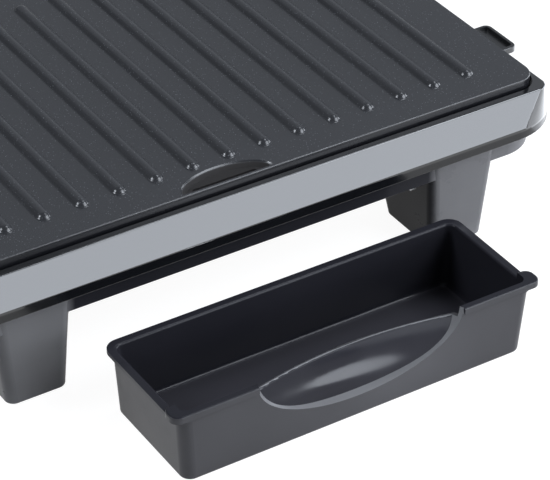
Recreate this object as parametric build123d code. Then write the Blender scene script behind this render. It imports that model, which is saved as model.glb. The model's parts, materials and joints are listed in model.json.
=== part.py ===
from build123d import *
from math import cos, hypot, radians, sin, tan
import os

# Table grill with a loose drip drawer. Millimetres: X along the front, Y to the back, Z up.
# It is drawn about the middle of the grill plate and moved to the shared origin when it is written.

# Grill plate
plate_width = 416.0
plate_depth = 266.0
plate_thickness = 8.0
plate_corner = 13.0
plate_edge_round = 0.7
plate_rise = 5.7
skirt_width = 14.0
skirt_drop = 3.0
rib_count = 15
rib_side = 36.5
rib_width = 7.8
rib_height = 3.0
rib_foot = 1.2
rib_foot_height = 0.9
rib_margin = 21.5

# Drain in the plate
drain_offset = -14.0
drain_width = 60.0
drain_reach = 17.0
drain_lip = 1.8
drain_depth = 3.2
drain_slope = 2.5
drain_edge = 0.8
drain_slot_width = 44.0
drain_slot_reach = 6.0

# Plate grips
grip_length = 32.0
grip_reach = 11.5
grip_thickness = 4.0
grip_drop = 0.9
grip_from_front = 53.0
grip_round = 4.5
grip_wall = 2.4
grip_hollow = 2.4
grip_edge = 0.8
tongue_length = 22.0
tongue_reach = 9.0
tongue_thickness = 2.0
tongue_clearance = 0.05

# Upper housing
plate_gap = 1.8
rim_front = 4.3
rim_side = 2.7
rim_corner = 7.0
slope_height = 19.2
slope_front = 8.9
slope_side = 13.0
lip_height = 6.6
lip_corner = 40.0
lip_edge = 0.6
ridge_round = 2.5
rim_edge = 1.2
housing_wall = 3.2
shelf_width = 10.0
shelf_thickness = 2.5
ring_thickness = 2.5
ring_front = 22.6
ring_side = 26.0
ring_corner = 18.0

# Plate seats
seat_height = 2.5
seat_diameter = 7.0
seat_spigot = 4.0
seat_clearance = 0.3
seat_inset = 53.0

# Lower housing and legs
apron_height = 14.2
apron_inset_front = 7.4
apron_inset_side = 15.5
apron_corner = 28.0
apron_wall = 2.5
apron_edge = 1.0
floor_thickness = 2.5
leg_width = 47.1
leg_reach = 72.0
leg_proud = 0.6
leg_edge = 6.0
leg_wall = 2.6
leg_sole = 4.0
leg_sole_edge = 1.2
leg_inner_draft = 3.5
leg_outer_draft = 4.9
leg_front_draft = 2.3
leg_back_draft = 18.0
pad_width = 24.0
pad_length = 36.0
pad_corner = 5.0
pad_thickness = 2.4
pad_proud = 0.6
pad_clearance = 0.1

# Drip drawer
drawer_inset = 90.0
drawer_depth = 81.0
drawer_draft = 3.0
drawer_front_draft = 2.0
drawer_corner = 7.0
drawer_bottom_round = 2.0
drawer_wall = 2.4
drawer_floor = 2.5
drawer_inner_round = 3.0
flange_height = 46.0
flange_thickness = 2.5
flange_overhang = 3.2
flange_corner = 9.0
flange_edge = 1.5
rim_raise = 4.0
rim_reach = 12.0
rim_proud = 1.8
rim_overhang = 2.3
rim_bar_corner = 5.5
rim_bar_round = 1.2
scoop_half_width = 69.0
scoop_depth = 35.5
scoop_ledge = 5.0
scoop_ledge_angle = 24.0
scoop_top = 13.0
scoop_crown_drop = 2.7
scoop_round = 1.1
scoop_belly = 1.0
scoop_sweep = 260.0
scoop_turn = 40.0
scoop_wall = 2.6
drawer_travel = 113.0

# Drawer runners
bay_headroom = 3.3
bay_side_gap = 0.9
runner_gap = 0.6
runner_web = 1.7
runner_tub_gap = 1.2
runner_ledge_drop = 0.6
runner_thickness = 1.8
runner_flange = 12.0
runner_start = 15.0
runner_stop_gap = 0.5
runner_stop = 2.0
runner_stop_reach = 7.0

# Drip chute
chute_width = 60.0
chute_depth = 10.0
chute_corner = 3.0
chute_wall = 1.0
chute_wing = 7.0
chute_clearance = 0.3

# Heating pan and element
tray_side = 38.0
tray_front = 21.0
tray_height = 25.5
tray_corner = 10.0
tray_sheet = 0.8
tray_lift = 6.2
tray_post = 8.0
tray_post_side = 70.0
tray_post_front = 20.0
element_diameter = 7.0
element_lift = 18.0
element_front = 32.5
element_bend_gap = 0.5
element_right_gap = 30.0
element_left_gap = 40.0
element_pin = 4.0
element_pin_length = 8.0
bush_diameter = 12.0
bush_length = 8.0
bar_inset = 95.0
bar_sheet = 1.2
bar_overhang = 14.0
bar_foot = 10.0
bar_top = 3.0
fit_clearance = 0.1

# Heat control on the left side
pod_place = 0.0
pod_height = 72.0
pod_diameter = 38.0
pod_wall = 2.5
pod_proud = 5.5
pod_inner_end = 14.0
pod_clearance = 0.2
thermostat_diameter = 30.0
thermostat_length = 15.0
shaft_diameter = 6.0
shaft_fit = 0.05
shaft_sunk = 6.0
knob_diameter = 30.0
knob_length = 15.0
knob_gap = 0.6
knob_socket = 10.0
knob_flutes = 12
knob_flute = 3.0
pointer_width = 2.0
pointer_length = 10.0
pointer_height = 0.8

# Heating light
lens_place = 45.0
lens_diameter = 8.0
lens_flange = 11.0
lens_cap = 1.6
lamp_diameter = 6.0
lamp_length = 11.0

# Wiring
lead_diameter = 2.6
block_width = 16.0
block_depth = 16.0
block_height = 10.0
block_tray_gap = 12.0
block_boss_gap = 16.0
lead_height = 61.0
lead_bend = 3.2
lead_tray_gap = 4.5
lead_spread = 8.0
lead_shelf_gap = 7.7
lead_reach = 18.0
lead_side = 7.0
gland_from_leg = 24.4
gland_body = 8.0
gland_flange = 10.5
gland_flange_length = 4.0
gland_bore = 5.6
gland_clearance = 0.1
fuse_bush_gap = 19.5
fuse_length = 18.0
fuse_width = 6.0
fuse_height = 8.0

# Fasteners
boss_diameter = 10.0
boss_from_side = 17.0
boss_from_front = 16.6
boss_above = 9.0
housing_screw = 3.4
housing_screw_head = 6.6
housing_screw_head_height = 2.2
small_screw = 3.0
small_screw_head = 6.0
small_screw_head_height = 1.8
runner_boss = 8.0
runner_boss_height = 5.0
runner_screw_inset = 18.0
screw_clearance = 0.05

# Heights worked out from the drawer upwards
drawer_top = flange_height + rim_raise
floor_z = drawer_top + bay_headroom
floor_top = floor_z + floor_thickness
lip_z = floor_z + apron_height
slope_z = lip_z + lip_height
rim_z = slope_z + slope_height
plate_top = rim_z + plate_rise
plate_bottom = plate_top - plate_thickness
shelf_top = plate_bottom - seat_clearance - seat_height
shelf_z = shelf_top - shelf_thickness
tray_z = floor_top + tray_lift
element_z = tray_z + element_lift

# Plan sizes worked out from the plate outwards
opening_width = plate_width + 2 * plate_gap
opening_depth = plate_depth + 2 * plate_gap
opening_corner = plate_corner + plate_gap
rim_outer_width = opening_width + 2 * rim_side
rim_outer_depth = opening_depth + 2 * rim_front
lip_width = rim_outer_width + 2 * slope_side
lip_depth = rim_outer_depth + 2 * slope_front
apron_width = lip_width - 2 * apron_inset_side
apron_depth = lip_depth - 2 * apron_inset_front
plate_front = -plate_depth / 2
rib_pitch = (plate_width - 2 * rib_side) / (rib_count - 1)
seat_spread = plate_depth - 2 * seat_inset
drawer_width = plate_width - 2 * drawer_inset
tray_width = plate_width - 2 * tray_side
tray_depth = plate_depth - 2 * tray_front
element_pitch = (tray_depth - 2 * element_front) / 3
element_bend = element_pitch / 2 - element_bend_gap
element_right = tray_width / 2 - element_right_gap
element_left = element_left_gap - tray_width / 2
apron_front = -apron_depth / 2
leg_front = apron_front - leg_proud

# Plan sizes worked out from the drawer outwards
flange_half = drawer_width / 2 + flange_overhang
runner_inner = flange_half + runner_gap
runner_outer = runner_inner + runner_web
runner_ledge = flange_overhang + runner_gap - runner_tub_gap
rim_half = flange_half + rim_overhang
leg_inner = rim_half + bay_side_gap
gland_x = gland_from_leg - leg_inner
drawer_back = drawer_depth + flange_overhang
drawer_shut = leg_front + rim_proud
drawer_rest = drawer_shut - drawer_travel

# Places of repeated fasteners
boss_x = apron_width / 2 - boss_from_side
boss_y = apron_depth / 2 - boss_from_front
boss_places = [(sx * boss_x, sy * boss_y) for sx in (-1, 1) for sy in (-1, 1)]
block_x = -tray_width / 2 - block_tray_gap - block_width / 2
block_y = boss_y - boss_diameter / 2 - block_boss_gap - block_depth / 2
post_x = tray_width / 2 - tray_post_side
post_y = tray_depth / 2 - tray_post_front
post_places = [(sx * post_x, sy * post_y) for sx in (-1, 1) for sy in (-1, 1)]
runner_first = leg_front + runner_start
runner_last = drawer_shut + drawer_back + runner_stop_gap + runner_stop
runner_screw_x = runner_inner - runner_flange / 2
runner_screw_ys = (runner_first + runner_screw_inset, runner_last - runner_screw_inset)
chute_y = plate_front + drain_lip + drain_slot_reach / 2

# Direction of the sloped side band, outwards and upwards
slope_length = hypot(slope_side, slope_height)
slope_out = slope_height / slope_length
slope_up = slope_side / slope_length
lens_plane = Plane(
    origin=(-(rim_outer_width + slope_side) / 2, lens_place, slope_z + slope_height / 2),
    x_dir=(0, 1, 0),
    z_dir=(-slope_out, 0, slope_up),
)


def block(x0, x1, y0, y1, z0, z1):
    """Box between three pairs of coordinates."""
    centre = Pos((x0 + x1) / 2, (y0 + y1) / 2, (z0 + z1) / 2)
    return centre * Box(abs(x1 - x0), abs(y1 - y0), abs(z1 - z0))


def outline(width, depth, corner, z, x=0.0, y=0.0):
    """Rounded rectangle lying at height z."""
    return Plane.XY.offset(z) * Pos(x, y) * RectangleRounded(width, depth, corner)


def slab(width, depth, corner, z0, z1, x=0.0, y=0.0):
    """Upright-sided block with a rounded rectangle as its plan."""
    return extrude(outline(width, depth, corner, z0, x, y), z1 - z0)


def post(diameter, x, y, z0, z1):
    """Upright cylinder between two heights."""
    return Pos(x, y, (z0 + z1) / 2) * Cylinder(diameter / 2, abs(z1 - z0))


def side_rod(diameter, x0, x1, y, z):
    """Cylinder along X between two ends."""
    return Pos((x0 + x1) / 2, y, z) * Rot(0, 90, 0) * Cylinder(diameter / 2, abs(x1 - x0))


def depth_rod(diameter, y0, y1, x, z):
    """Cylinder along Y between two ends."""
    return Pos(x, (y0 + y1) / 2, z) * Rot(90, 0, 0) * Cylinder(diameter / 2, abs(y1 - y0))


def tube_along(points, bend, diameter):
    """Round tube along straight runs with rounded corners."""
    path = FilletPolyline(*points, radius=bend)
    section = Plane(origin=path @ 0, z_dir=path % 0) * Circle(diameter / 2)
    return sweep(section, path=path)


def drain_shape(grow, z):
    """Half-moon whose straight side lies behind the plate's front lip."""
    middle = plate_front + drain_lip
    moon = Ellipse(drain_width / 2 + grow, drain_reach - drain_lip + grow)
    keep = Pos(0, drain_reach) * Rectangle(2 * drain_width, 2 * drain_reach)
    return Plane.XY.offset(z) * Pos(drain_offset, middle) * (moon & keep)


def rib_section():
    """Right half of a rib's section: a round crown that runs out into a hollow foot."""
    half = rib_width / 2
    arch = ThreePointArc((-half, rib_foot_height), (0, rib_height), (half, rib_foot_height))
    crown = arch.trim(0.5, 1)
    foot = TangentArc(crown @ 1, (half + rib_foot, 0), tangent=crown % 1)
    middle = Polyline(foot @ 1, (0, 0), (0, rib_height))
    return make_face(Plane.XZ * (crown + foot + middle))


def make_rib():
    """One raised rib with ball ends, standing on height zero."""
    section = rib_section()
    run = plate_depth - 2 * rib_margin - rib_width
    side = extrude(section, run / 2, both=True)
    end = Pos(0, run / 2) * revolve(section, Axis.Z, 180)
    return side + mirror(side, about=Plane.YZ) + end + mirror(end, about=Plane.XZ)


def make_plate():
    """Ribbed plate with a hollow underside, drain and slots for the grips."""
    body = slab(plate_width, plate_depth, plate_corner, plate_bottom, plate_top)
    body = fillet(body.edges().group_by(Axis.Z)[-1], plate_edge_round)
    body -= slab(
        plate_width - 2 * skirt_width,
        plate_depth - 2 * skirt_width,
        plate_corner,
        plate_bottom,
        plate_bottom + skirt_drop,
    )
    edge_z = plate_top - drain_edge
    body -= loft(
        [drain_shape(-drain_slope, plate_top - drain_depth), drain_shape(0, edge_z)], ruled=True
    )
    body -= loft([drain_shape(0, edge_z), drain_shape(drain_edge, plate_top)], ruled=True)
    body -= slab(
        drain_slot_width,
        drain_slot_reach,
        drain_slot_reach / 3,
        plate_bottom,
        plate_top,
        drain_offset,
        chute_y,
    )
    for side in (-1, 1):
        body -= grip_tongue(side, tongue_clearance)
    rib = make_rib()
    first = -(rib_count - 1) / 2 * rib_pitch
    ribs = [Pos(first + i * rib_pitch, 0, plate_top) * rib for i in range(rib_count)]
    return body + ribs


def grip_middle():
    """Distance of the grips' middle from the plate's middle."""
    return plate_front + grip_from_front


def grip_tongue(side, grow):
    """Tongue of a grip, or its slot when grown by a clearance."""
    top = plate_top - grip_drop - (grip_thickness - tongue_thickness) / 2
    y = grip_middle()
    return block(
        side * (plate_width / 2 - tongue_reach - grow),
        side * plate_width / 2,
        y - tongue_length / 2 - grow,
        y + tongue_length / 2 + grow,
        top - tongue_thickness - grow,
        top + grow,
    )


def make_grip(side):
    """Lug beside the plate, hollow on top, held by its tongue."""
    top = plate_top - grip_drop
    x0 = plate_width / 2
    middle = x0 + grip_reach / 2
    y = grip_middle()
    lug = slab(grip_reach, grip_length, grip_round, top - grip_thickness, top, middle, y)
    root = block(x0, middle, y - grip_length / 2, y + grip_length / 2, top - grip_thickness, top)
    hollow = slab(
        grip_reach - 2 * grip_wall,
        grip_length - 2 * grip_wall,
        grip_round - grip_wall,
        top - grip_hollow,
        top,
        middle,
        y,
    )
    lug = fillet((lug + root).edges().group_by(Axis.Z)[-1].sort_by(Axis.X)[1:], grip_edge)
    right = lug - hollow
    shaped = right if side > 0 else mirror(right, about=Plane.YZ)
    return shaped + grip_tongue(side, 0)


def make_upper_housing():
    """Glossy frame: upright lip, sloped band, flat rim, plate shelf and lower ring."""
    shelf_share = (shelf_z - slope_z) / slope_height
    body = slab(lip_width, lip_depth, lip_corner, lip_z, slope_z)
    body += loft(
        [
            outline(lip_width, lip_depth, lip_corner, slope_z),
            outline(rim_outer_width, rim_outer_depth, rim_corner, rim_z),
        ],
        ruled=True,
    )
    body = fillet(body.edges().filter_by_position(Axis.Z, slope_z, slope_z), ridge_round)
    body = fillet(body.edges().group_by(Axis.Z)[-1], rim_edge)
    body = fillet(body.edges().group_by(Axis.Z)[0], lip_edge)
    body -= slab(opening_width, opening_depth, opening_corner, shelf_top, rim_z)
    body -= slab(
        opening_width - 2 * shelf_width,
        opening_depth - 2 * shelf_width,
        opening_corner,
        shelf_z,
        shelf_top,
    )
    low_width = lip_width - 2 * housing_wall
    low_depth = lip_depth - 2 * housing_wall
    low_corner = lip_corner - housing_wall
    body -= slab(low_width, low_depth, low_corner, lip_z + ring_thickness, slope_z)
    body -= loft(
        [
            outline(low_width, low_depth, low_corner, slope_z),
            outline(
                low_width - 2 * slope_side * shelf_share,
                low_depth - 2 * slope_front * shelf_share,
                low_corner - (lip_corner - rim_corner) * shelf_share,
                shelf_z,
            ),
        ],
        ruled=True,
    )
    body -= slab(
        apron_width - 2 * ring_side,
        apron_depth - 2 * ring_front,
        ring_corner,
        lip_z,
        lip_z + ring_thickness,
    )
    for x, y in boss_places:
        top = lip_z + ring_thickness + boss_above
        body += post(boss_diameter, x, y, lip_z + ring_thickness, top)
        body -= post(housing_screw + 2 * screw_clearance, x, y, lip_z, top)
    body -= chute_path(lip_z, shelf_top)
    for x, y in seat_places():
        body -= post(seat_spigot + 2 * fit_clearance, x, y, shelf_z, shelf_top)
    pod_end = -lip_width / 2 + pod_inner_end
    body -= side_rod(
        pod_diameter + 2 * pod_clearance, -lip_width, pod_end - pod_clearance, pod_place, pod_height
    )
    body -= lens_plane * Cylinder(lens_diameter / 2 + fit_clearance, 4 * housing_wall)
    return body


def chute_path(z0, z1):
    """Space that the chute needs through the housing."""
    width = chute_width + 2 * chute_clearance
    front = chute_y - chute_depth / 2 - chute_clearance
    return block(
        drain_offset - width / 2, drain_offset + width / 2, front, front + 2 * chute_depth, z0, z1
    )


def leg_outline(z, inset):
    """Plan of the front right leg at a height, drawn in by a wall."""
    drop = (floor_z - z) / (floor_z - pad_proud)
    x0 = leg_inner + leg_inner_draft * drop + inset
    x1 = leg_inner + leg_width - leg_outer_draft * drop - inset
    y0 = leg_front + leg_front_draft * drop + inset
    y1 = leg_front + leg_reach - leg_back_draft * drop - inset
    corner = leg_edge - inset
    return outline(x1 - x0, y1 - y0, corner, z, (x0 + x1) / 2, (y0 + y1) / 2)


def leg_foot():
    """Middle of the front right leg's sole."""
    x = leg_inner + (leg_width + leg_inner_draft - leg_outer_draft) / 2
    y = leg_front + (leg_reach + leg_front_draft - leg_back_draft) / 2
    return x, y


def foot_space(grow):
    """Pad under the front right leg, or its recess when grown."""
    x, y = leg_foot()
    return slab(
        pad_width + 2 * grow,
        pad_length + 2 * grow,
        pad_corner + grow,
        0.0,
        pad_thickness,
        x,
        y,
    )


def to_corner(shape, sx, sy):
    """Copy a front right shape to another corner."""
    moved = shape if sx > 0 else mirror(shape, about=Plane.YZ)
    return moved if sy < 0 else mirror(moved, about=Plane.XZ)


def make_lower_housing():
    """Apron, floor and four hollow legs in one moulding."""
    body = slab(apron_width, apron_depth, apron_corner, floor_z, lip_z)
    body = fillet(body.edges().group_by(Axis.Z)[0], apron_edge)
    leg = loft([leg_outline(pad_proud, 0), leg_outline(lip_z, 0)], ruled=True)
    leg = fillet(leg.edges().group_by(Axis.Z)[0], leg_sole_edge)
    leg -= foot_space(pad_clearance)
    hollow = loft(
        [leg_outline(pad_proud + leg_sole, leg_wall), leg_outline(floor_top, leg_wall)], ruled=True
    )
    corners = [(sx, sy) for sx in (-1, 1) for sy in (-1, 1)]
    for sx, sy in corners:
        body += to_corner(leg, sx, sy)
    body -= slab(
        apron_width - 2 * apron_wall,
        apron_depth - 2 * apron_wall,
        apron_corner - apron_wall,
        floor_top,
        lip_z,
    )
    for sx, sy in corners:
        body -= to_corner(hollow, sx, sy)
    for x, y in boss_places:
        body += post(boss_diameter, x, y, floor_top, lip_z)
        body -= post(housing_screw + 2 * screw_clearance, x, y, floor_z, lip_z)
        head = housing_screw_head + 2 * screw_clearance
        body -= post(head, x, y, floor_z, floor_z + housing_screw_head_height)
    for x, y in post_places:
        body += post(tray_post, x, y, floor_top, tray_z)
        body -= post(small_screw + 2 * screw_clearance, x, y, floor_top, tray_z)
    for side in (-1, 1):
        for y in runner_screw_ys:
            x = side * runner_screw_x
            body += post(runner_boss, x, y, floor_top, floor_top + runner_boss_height)
            body -= post(
                small_screw + 2 * screw_clearance, x, y, floor_z, floor_top + runner_boss_height
            )
    body -= slab(
        chute_width + 2 * chute_clearance,
        chute_depth + 2 * chute_clearance,
        chute_corner + chute_clearance,
        floor_z,
        floor_top,
        drain_offset,
        chute_y,
    )
    gland_z = (floor_top + lip_z) / 2
    wall_back = apron_depth / 2
    body -= depth_rod(
        gland_body + 2 * gland_clearance, wall_back - apron_wall, wall_back, gland_x, gland_z
    )
    return body


def make_runner(side):
    """Rail under the floor that guides one side flange, with a stop at its back."""
    flange_under = flange_height - flange_thickness
    ledge_top = flange_under - runner_ledge_drop
    ledge_z = ledge_top - runner_thickness
    rail = block(runner_inner, runner_outer, runner_first, runner_last, ledge_z, floor_z)
    rail += block(
        runner_inner - runner_ledge, runner_inner, runner_first, runner_last, ledge_z, ledge_top
    )
    rail += block(
        runner_inner - runner_flange,
        runner_inner,
        runner_first,
        runner_last,
        floor_z - runner_thickness,
        floor_z,
    )
    rail += block(
        runner_inner - runner_stop_reach,
        runner_inner,
        runner_last - runner_stop,
        runner_last,
        ledge_z,
        floor_z,
    )
    for y in runner_screw_ys:
        hole = small_screw + 2 * screw_clearance
        rail -= post(hole, runner_screw_x, y, floor_z - runner_thickness, floor_z)
    return rail if side > 0 else mirror(rail, about=Plane.YZ)


def scoop_mouth(grow):
    """Smile-shaped mouth of the finger scoop, whose ledge rises towards the back."""
    reach = 2 * scoop_top
    rise = reach * tan(radians(scoop_ledge_angle))
    mouths = []
    for side in (-1, 1):
        smile = Ellipse(scoop_half_width + grow - side * rise, scoop_depth + grow - side * rise)
        mouths.append(Plane.XZ.offset(-side * reach) * Pos(0, drawer_top) * smile)
    return loft(mouths, ruled=True)


def scoop_dish(grow, crown):
    """Space in front of the scoop's dished back, or of its shell when grown, with a soft crown."""
    low = drawer_top - scoop_depth
    top = flange_height - scoop_crown_drop
    under = (scoop_sweep + scoop_ledge + grow, low - grow)
    upper = (scoop_sweep + scoop_top + grow, top - scoop_round)
    middle = ((under[0] + upper[0]) / 2 - scoop_belly, (under[1] + upper[1]) / 2)
    bend = 1 - cos(radians(45))
    shoulder = (upper[0] + crown * bend, top - scoop_round * bend)
    lip = (upper[0] + crown, top)
    front = scoop_sweep - scoop_top
    back = ThreePointArc(under, middle, upper) + ThreePointArc(upper, shoulder, lip)
    rest = Polyline(lip, (front, top), (front, under[1]), under)
    swept = revolve(make_face(Plane.XZ * (back + rest)), Axis.Z, scoop_turn)
    return Pos(0, -scoop_sweep) * Rot(0, 0, 90 - scoop_turn / 2) * swept


def scoop_cut():
    """Everything that the finger scoop takes out of the drawer's front."""
    top = flange_height - scoop_crown_drop
    above = block(
        -scoop_half_width, scoop_half_width, -scoop_top, rim_reach, top, drawer_top + rim_raise
    )
    return scoop_mouth(0) & (scoop_dish(0, scoop_round) + above)


def make_drawer():
    """Moulded tub with running flanges, raised front rim and finger scoop."""
    flange_under = flange_height - flange_thickness
    low_depth = drawer_depth - drawer_front_draft
    low_middle = drawer_depth / 2 + drawer_front_draft / 2
    low_width = drawer_width - 2 * drawer_draft
    top_middle = drawer_depth / 2
    tub = loft(
        [
            outline(low_width, low_depth, drawer_corner, 0, 0, low_middle),
            outline(drawer_width, drawer_depth, drawer_corner, flange_under, 0, top_middle),
        ],
        ruled=True,
    )
    tub = fillet(tub.edges().group_by(Axis.Z)[0], drawer_bottom_round)
    tub += slab(
        2 * flange_half, drawer_back, flange_corner, flange_under, flange_height, 0, drawer_back / 2
    )
    rim = slab(
        2 * rim_half,
        rim_reach + rim_proud,
        rim_bar_corner,
        flange_height,
        drawer_top,
        0,
        (rim_reach - rim_proud) / 2,
    )
    tub += fillet(rim.edges().group_by(Axis.Z)[-1], rim_bar_round)
    inner_corner = drawer_corner - drawer_wall
    inner_width = drawer_width - 2 * drawer_wall
    inner_depth = drawer_depth - 2 * drawer_wall
    inner_low_width = low_width - 2 * drawer_wall
    inner_low_depth = low_depth - 2 * drawer_wall
    cavity = loft(
        [
            outline(inner_low_width, inner_low_depth, inner_corner, drawer_floor, 0, low_middle),
            outline(inner_width, inner_depth, inner_corner, flange_under, 0, top_middle),
        ],
        ruled=True,
    )
    cavity = fillet(cavity.edges().group_by(Axis.Z)[0], drawer_inner_round)
    cavity += slab(inner_width, inner_depth, inner_corner, flange_under, drawer_top, 0, top_middle)
    shell = scoop_mouth(scoop_wall) & scoop_dish(scoop_wall, -scoop_round) & cavity
    tub = tub - cavity + shell - scoop_cut()
    level = tub.edges().filter_by_position(Axis.Z, flange_height, flange_height)
    behind_rim = level.filter_by_position(Axis.Y, rim_reach, drawer_depth - drawer_wall)
    tub = fillet(behind_rim.filter_by_position(Axis.X, -inner_width / 2, inner_width / 2), flange_edge)
    return Pos(0, drawer_rest) * tub


def make_chute():
    """Sheet tube from the drain down to the floor, hung on the shelf by two wings."""
    middle = (drain_offset, chute_y)
    tube = slab(chute_width, chute_depth, chute_corner, floor_z, shelf_top, *middle)
    wing_width = chute_width + 2 * chute_wing
    tube += slab(
        wing_width, chute_depth, chute_corner, shelf_top, shelf_top + chute_wall, *middle
    )
    tube -= slab(
        chute_width - 2 * chute_wall,
        chute_depth - 2 * chute_wall,
        chute_corner - chute_wall,
        floor_z,
        shelf_top + chute_wall,
        *middle,
    )
    return tube


def seat_places():
    """Places of the four plate seats on the side shelves."""
    x = (opening_width - shelf_width) / 2
    return [(sx * x, sy * seat_spread / 2) for sx in (-1, 1) for sy in (-1, 1)]


def make_seat(x, y):
    """Button that carries the plate, with a spigot in the shelf."""
    return post(seat_diameter, x, y, shelf_top, shelf_top + seat_height) + post(
        seat_spigot, x, y, shelf_z, shelf_top
    )


def make_tray():
    """Bright pan below the element, open at the top."""
    tray = slab(tray_width, tray_depth, tray_corner, tray_z, tray_z + tray_height)
    tray -= slab(
        tray_width - 2 * tray_sheet,
        tray_depth - 2 * tray_sheet,
        tray_corner - tray_sheet,
        tray_z + tray_sheet,
        tray_z + tray_height,
    )
    for x, y in post_places:
        tray -= post(small_screw + 2 * screw_clearance, x, y, tray_z, tray_z + tray_sheet)
    for y in bush_ys():
        tray -= side_rod(
            bush_diameter + 2 * fit_clearance,
            -tray_width / 2,
            -tray_width / 2 + tray_sheet,
            y,
            element_z,
        )
    return tray


def bush_ys():
    """Places of the element's two ends."""
    return (-1.5 * element_pitch, 1.5 * element_pitch)


def make_element():
    """Tube heater in four runs with a pin at each end."""
    start = -tray_width / 2 - bush_length / 2
    front, back = bush_ys()
    inner = element_pitch / 2
    points = [
        (start, front, element_z),
        (element_right, front, element_z),
        (element_right, -inner, element_z),
        (element_left, -inner, element_z),
        (element_left, inner, element_z),
        (element_right, inner, element_z),
        (element_right, back, element_z),
        (start, back, element_z),
    ]
    tube = tube_along(points, element_bend, element_diameter)
    for y in bush_ys():
        tube += side_rod(element_pin, start - element_pin_length, start, y, element_z)
    return tube


def make_bush(y):
    """Insulating ring where the element leaves the tray."""
    middle = -tray_width / 2 + tray_sheet / 2
    ring = side_rod(
        bush_diameter, middle - bush_length / 2, middle + bush_length / 2, y, element_z
    )
    return ring - side_rod(
        element_diameter + 2 * fit_clearance, middle - bush_length, middle + bush_length, y, element_z
    )


def make_bar(side):
    """Upright strip with holes that hold the element's runs."""
    x = side * (tray_width / 2 - bar_inset)
    base = tray_z + tray_sheet
    half = 1.5 * element_pitch + bar_overhang
    top = element_z + element_diameter / 2 + bar_top
    strip = block(x, x + side * bar_sheet, -half, half, base, top)
    strip += block(x, x + side * bar_foot, -half, half, base, base + bar_sheet)
    for i in range(4):
        y = (i - 1.5) * element_pitch
        strip -= side_rod(
            element_diameter + 2 * fit_clearance, x - bar_foot, x + bar_foot, y, element_z
        )
    return strip


def pod_face():
    """Outer face of the control pod along X."""
    return -lip_width / 2 - pod_proud


def make_pod():
    """Round cup in the left side that holds the thermostat."""
    inner_end = -lip_width / 2 + pod_inner_end - pod_clearance
    cup = side_rod(pod_diameter, pod_face(), inner_end, pod_place, pod_height)
    cup -= side_rod(
        pod_diameter - 2 * pod_wall, pod_face() + pod_wall, inner_end, pod_place, pod_height
    )
    bore = shaft_diameter + 2 * shaft_fit
    return cup - side_rod(bore, pod_face(), pod_face() + pod_wall, pod_place, pod_height)


def make_thermostat():
    """Thermostat behind the pod's face, with a bore for the shaft."""
    front = pod_face() + pod_wall
    body = side_rod(thermostat_diameter, front, front + thermostat_length, pod_place, pod_height)
    bore = shaft_diameter + 2 * shaft_fit
    return body - side_rod(bore, front, front + shaft_sunk, pod_place, pod_height)


def make_shaft():
    """Control shaft from the thermostat into the knob."""
    end = pod_face() + pod_wall + shaft_sunk - shaft_fit
    return side_rod(
        shaft_diameter, pod_face() - knob_gap - knob_socket, end, pod_place, pod_height
    )


def make_knob():
    """Fluted knob with a pointer bar on its face."""
    back = pod_face() - knob_gap
    face = back - knob_length
    knob = side_rod(knob_diameter, face, back, pod_place, pod_height)
    knob = fillet(knob.edges().group_by(Axis.X)[0], knob_flute / 2)
    for i in range(knob_flutes):
        turn = radians(360 * (i + 0.5) / knob_flutes)
        y = pod_place + knob_diameter / 2 * sin(turn)
        z = pod_height + knob_diameter / 2 * cos(turn)
        knob -= side_rod(knob_flute, face, back - knob_flute, y, z)
    knob += block(
        face - pointer_height,
        face,
        pod_place - pointer_width / 2,
        pod_place + pointer_width / 2,
        pod_height,
        pod_height + pointer_length,
    )
    return knob - side_rod(shaft_diameter, back - knob_socket, back, pod_place, pod_height)


def make_lens():
    """Lens of the heating light in the left band."""
    body = Cylinder(lens_diameter / 2, housing_wall)
    cap = Pos(0, 0, lens_cap / 2) * Cylinder(lens_flange / 2, lens_cap)
    cap = fillet(cap.edges().group_by(Axis.Z)[-1], lens_cap / 2)
    return lens_plane * (Pos(0, 0, -housing_wall / 2) * body + cap)


def make_lamp():
    """Lamp behind the lens."""
    return lens_plane * Pos(0, 0, -housing_wall - lamp_length / 2) * Cylinder(
        lamp_diameter / 2, lamp_length
    )


def make_terminal_block():
    """Block on the floor where the supply is joined."""
    return block(
        block_x - block_width / 2,
        block_x + block_width / 2,
        block_y - block_depth / 2,
        block_y + block_depth / 2,
        floor_top,
        floor_top + block_height,
    )


def make_gland():
    """Entry for the supply cord in the back wall."""
    z = (floor_top + lip_z) / 2
    wall_back = apron_depth / 2
    wall_inside = wall_back - apron_wall
    gland = depth_rod(gland_body, wall_inside - gland_flange_length, wall_back, gland_x, z)
    gland += depth_rod(gland_flange, wall_back, wall_back + gland_flange_length, gland_x, z)
    end = wall_inside - gland_flange_length
    return gland - depth_rod(gland_bore, end, wall_back + gland_flange_length, gland_x, z)


def make_fuse():
    """Thermal fuse on the tray's left wall."""
    x = -tray_width / 2
    back = bush_ys()[1] - bush_diameter / 2 - fuse_bush_gap
    middle = tray_z + tray_height / 2
    return block(
        x - fuse_width,
        x,
        back - fuse_length,
        back,
        middle - fuse_height / 2,
        middle + fuse_height / 2,
    )


def make_screw(diameter, head, head_height, length, x, y, z, up):
    """Pan head screw whose head seats at height z, with its shank going up or down."""
    shank = post(diameter, x, y, z, z + up * length)
    return shank + post(head, x, y, z - up * head_height, z)


def make_housing_screws():
    """Four screws from below the floor into the upper housing."""
    seat = floor_z + housing_screw_head_height
    end = lip_z + ring_thickness + boss_above
    return Compound(
        [
            make_screw(
                housing_screw, housing_screw_head, housing_screw_head_height, end - seat, x, y, seat, 1
            )
            for x, y in boss_places
        ]
    )


def make_tray_screws():
    """Four screws that hold the tray on its posts."""
    seat = tray_z + tray_sheet
    length = tray_lift + tray_sheet
    return Compound(
        [
            make_screw(small_screw, small_screw_head, small_screw_head_height, length, x, y, seat, -1)
            for x, y in post_places
        ]
    )


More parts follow.
